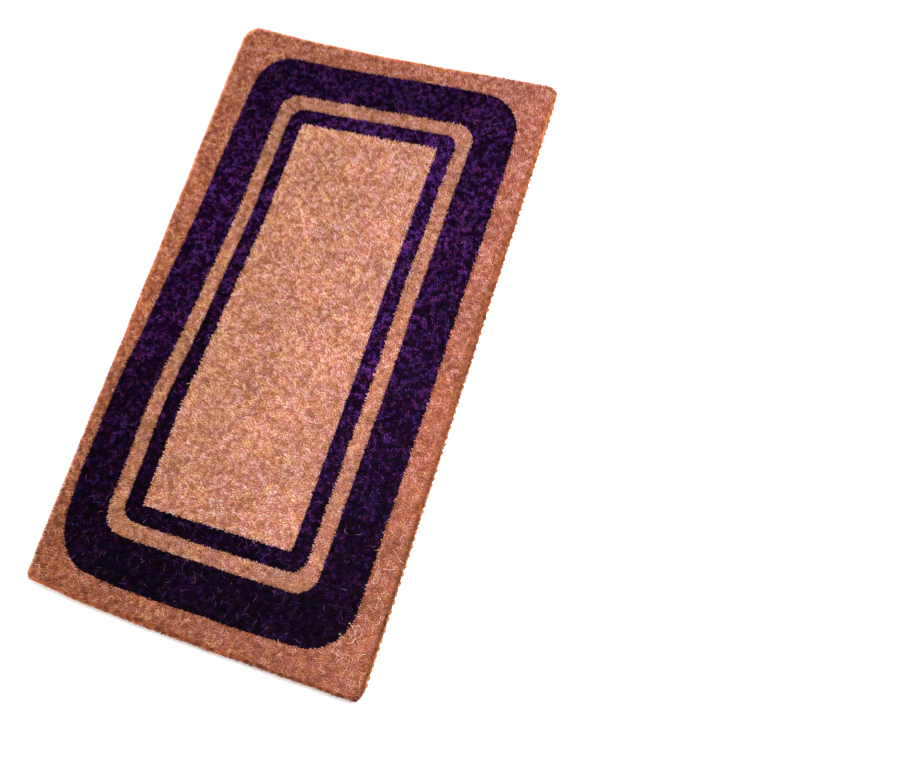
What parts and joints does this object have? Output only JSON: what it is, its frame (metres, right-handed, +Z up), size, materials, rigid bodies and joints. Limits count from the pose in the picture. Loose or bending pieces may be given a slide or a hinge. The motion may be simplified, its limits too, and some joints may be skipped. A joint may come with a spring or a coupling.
{
  "type": "door mat",
  "caption": "Rectangular hand-woven coir door mat with a dyed border band and line, a plaited edge and a flat woven underside.",
  "frame": {"origin": "middle of the flat underside, on the floor", "axes": "+X across the mat, +Y along the mat, +Z up out of the pile"},
  "size_m": [0.4, 0.7, 0.02],
  "materials": {
    "natural_pile": "undyed cut coir bristle, dry and matt, pinkish tan with pale straw and brown fibres",
    "dyed_pile": "coir bristle printed very dark violet, faintly glinting at the cut tips",
    "ground_yarn": "two-ply twisted coir yarn, hairy and matt",
    "braid_yarn": "plaited coir yarn, orange brown, matt",
    "sewing_yarn": "thin twisted sewing yarn, matt"
  },
  "bodies": {
    "root": {"warp_yarns": "ground_yarn", "weft_yarns": "ground_yarn", "braid_left": "braid_yarn", "braid_right": "braid_yarn", "braid_near": "braid_yarn", "braid_far": "braid_yarn", "stitches_left": "sewing_yarn", "stitches_right": "sewing_yarn", "stitches_near": "sewing_yarn", "stitches_far": "sewing_yarn", "pile_margin": "natural_pile", "pile_band": "dyed_pile", "pile_gap": "natural_pile", "pile_line": "dyed_pile", "pile_field": "natural_pile"}
  },
  "joints": []
}
